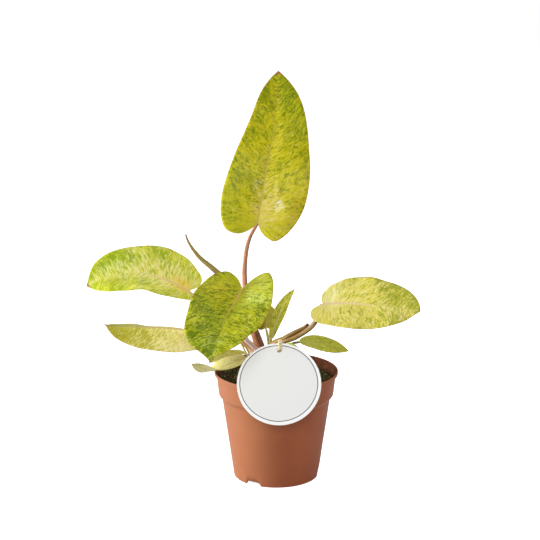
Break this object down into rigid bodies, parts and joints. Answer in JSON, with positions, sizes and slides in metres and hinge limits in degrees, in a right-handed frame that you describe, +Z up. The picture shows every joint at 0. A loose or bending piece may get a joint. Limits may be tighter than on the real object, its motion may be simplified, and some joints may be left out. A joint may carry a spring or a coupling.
{
  "type": "potted painted lady philodendron",
  "caption": "Young painted lady philodendron with mottled heart-shaped leaves, in a round plastic nursery pot with a blank round card tag on twine.",
  "frame": {"origin": "middle of the pot's foot, on the surface that it stands on", "axes": "+Z up along the pot's axis; -Y is the front, where the tag leans; +X to the right seen from the front"},
  "size_m": [0.3124, 0.1847, 0.389],
  "materials": {
    "pot": "satin terracotta-coloured plastic",
    "peat": "loose dark peat with moss",
    "stem": "brown green stem",
    "leaf": "semi-gloss mottled yellow and green leaf",
    "young_leaf": "plain olive green young leaf",
    "stalk": "smooth pink brown stalk",
    "card": "matt white card",
    "twine": "fuzzy cream twine"
  },
  "bodies": {
    "root": {"pot": "pot", "soil": "peat", "stem": "stem", "blade_crown": "leaf", "petiole_crown": "stalk", "blade_left": "leaf", "petiole_left": "stalk", "blade_front": "leaf", "petiole_front": "stalk", "blade_low_left": "leaf", "petiole_low_left": "stalk", "blade_right": "leaf", "petiole_right": "stalk", "spear": "young_leaf", "blade_lance": "young_leaf", "petiole_lance": "stalk", "blade_back": "young_leaf", "petiole_back": "stalk", "blade_low_right": "young_leaf", "petiole_low_right": "stalk", "blade_low_front": "leaf", "petiole_low_front": "stalk", "blade_tucked": "leaf", "petiole_tucked": "stalk", "blade_arching": "young_leaf", "petiole_arching": "stalk", "tag": "card", "tag_string": "twine"}
  },
  "joints": []
}
